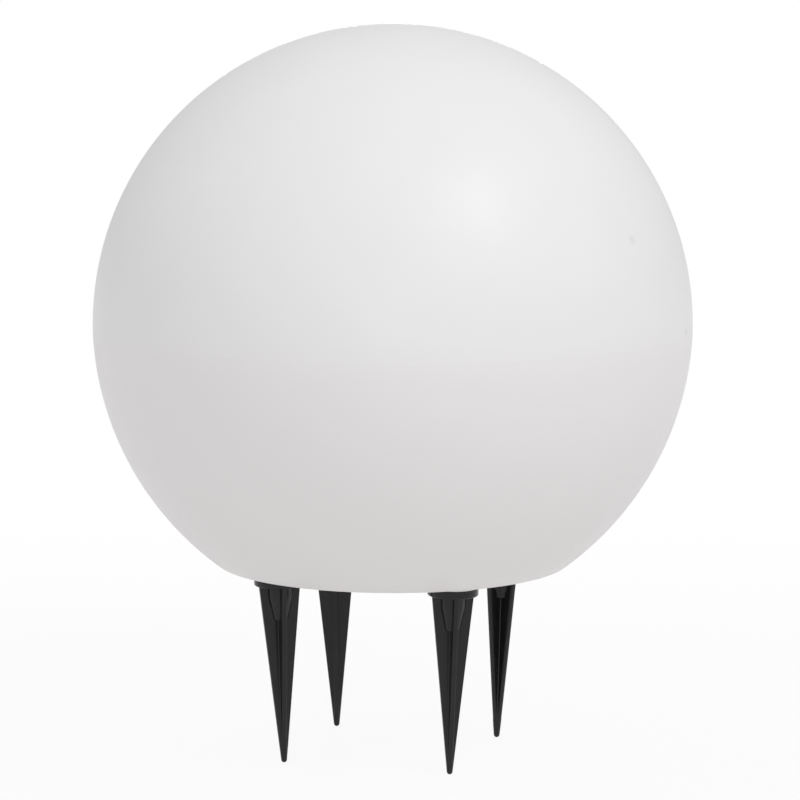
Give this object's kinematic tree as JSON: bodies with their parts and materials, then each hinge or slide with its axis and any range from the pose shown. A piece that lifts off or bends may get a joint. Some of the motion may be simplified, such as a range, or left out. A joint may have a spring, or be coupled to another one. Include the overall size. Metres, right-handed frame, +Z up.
{
  "type": "garden globe light",
  "caption": "Opal outdoor globe lamp with a flattened base on push-in ground spikes, with a screw-held lamp unit in its neck.",
  "frame": {"origin": "on the globe's vertical axis, level with the tips of the ground spikes", "axes": "+Z up along the globe's axis; -Y is the front, with two spikes in front and two behind on the diagonals"},
  "size_m": [0.5008, 0.5008, 0.6135],
  "materials": {
    "opal_polyethylene": "satin opal, light diffusing",
    "black_plastic": "glossy moulded",
    "grey_plastic": "fine satin",
    "seal_rubber": "soft matt",
    "screw_steel": "zinc plated",
    "brass": "bright turned",
    "terminal_plastic": "natural nylon",
    "live_insulation": "brown insulation",
    "neutral_insulation": "blue insulation",
    "holder_plastic": "black thermoset",
    "porcelain": "glazed ceramic",
    "nickel": "nickel plated",
    "lamp_plastic": "white satin",
    "lamp_opal": "opal diffuser",
    "board_aluminium": "white solder mask on aluminium",
    "driver_board": "green circuit board",
    "led_phosphor": "yellow phosphor"
  },
  "bodies": {
    "globe": {"globe_shell": "opal_polyethylene", "globe_dome": "opal_polyethylene"},
    "spike_front_left": {"ground_spike_front_left": "black_plastic"},
    "spike_front_right": {"ground_spike_front_right": "black_plastic"},
    "spike_back_left": {"ground_spike_back_left": "black_plastic"},
    "spike_back_right": {"ground_spike_back_right": "black_plastic"},
    "slip_ring": {"slip_ring": "grey_plastic"},
    "retaining_ring": {"retaining_ring": "black_plastic"},
    "bulb": {"bulb_pip": "brass", "bulb_insulator": "holder_plastic", "bulb_cap": "nickel", "bulb_housing": "lamp_plastic", "led_board": "board_aluminium", "led_chips": "led_phosphor", "bulb_driver": "driver_board", "bulb_diffuser": "lamp_opal"},
    "lamp_unit": {"neck_gasket": "seal_rubber", "lamp_carrier": "grey_plastic", "chamber_gasket": "seal_rubber", "chamber_cover": "grey_plastic", "cover_screws": "screw_steel", "gland_body": "black_plastic", "gland_washer": "seal_rubber", "gland_locknut": "black_plastic", "gland_seal": "seal_rubber", "gland_dome_nut": "black_plastic", "terminal_block": "terminal_plastic", "terminal_inserts": "brass", "terminal_screws": "screw_steel", "fixing_screw": "screw_steel", "live_lead": "live_insulation", "neutral_lead": "neutral_insulation", "nipple": "screw_steel", "nipple_nut": "screw_steel", "lampholder_cap": "holder_plastic", "contact_base": "porcelain", "contact_screws": "brass", "screw_contact": "brass", "centre_contact": "brass", "lampholder_shell": "holder_plastic"}
  },
  "joints": [
    {"name": "spike_front_left_pull", "type": "slide", "parent": "globe", "child": "spike_front_left", "axis": [0.0196, 0.0196, -0.9996], "range_m": [0, 0.04]},
    {"name": "spike_front_right_pull", "type": "slide", "parent": "globe", "child": "spike_front_right", "axis": [-0.0196, 0.0196, -0.9996], "range_m": [0, 0.04]},
    {"name": "spike_back_left_pull", "type": "slide", "parent": "globe", "child": "spike_back_left", "axis": [0.0196, -0.0196, -0.9996], "range_m": [0, 0.04]},
    {"name": "spike_back_right_pull", "type": "slide", "parent": "globe", "child": "spike_back_right", "axis": [-0.0196, -0.0196, -0.9996], "range_m": [0, 0.04]},
    {"name": "lamp_unit_withdrawal", "type": "slide", "parent": "globe", "child": "lamp_unit", "axis": [0, 0, -1], "range_m": [0, 0.16]},
    {"name": "ring_travel", "type": "slide", "parent": "lamp_unit", "child": "slip_ring", "axis": [0, 0, -1], "range_m": [0, 0.0141]},
    {"name": "ring_turn", "type": "hinge", "parent": "slip_ring", "child": "retaining_ring", "pos_m": [0, 0, 0.187], "axis": [0, 0, -1], "range_deg": [0, 1260]},
    {"name": "bulb_turn", "type": "hinge", "parent": "lamp_unit", "child": "bulb", "pos_m": [0, 0, 0.319], "axis": [0, 0, 1], "range_deg": [0, 1800]}
  ],
  "couplings": [
    {"joint": "ring_travel", "follows": "ring_turn", "m_per_rad": 0.00063662}
  ]
}
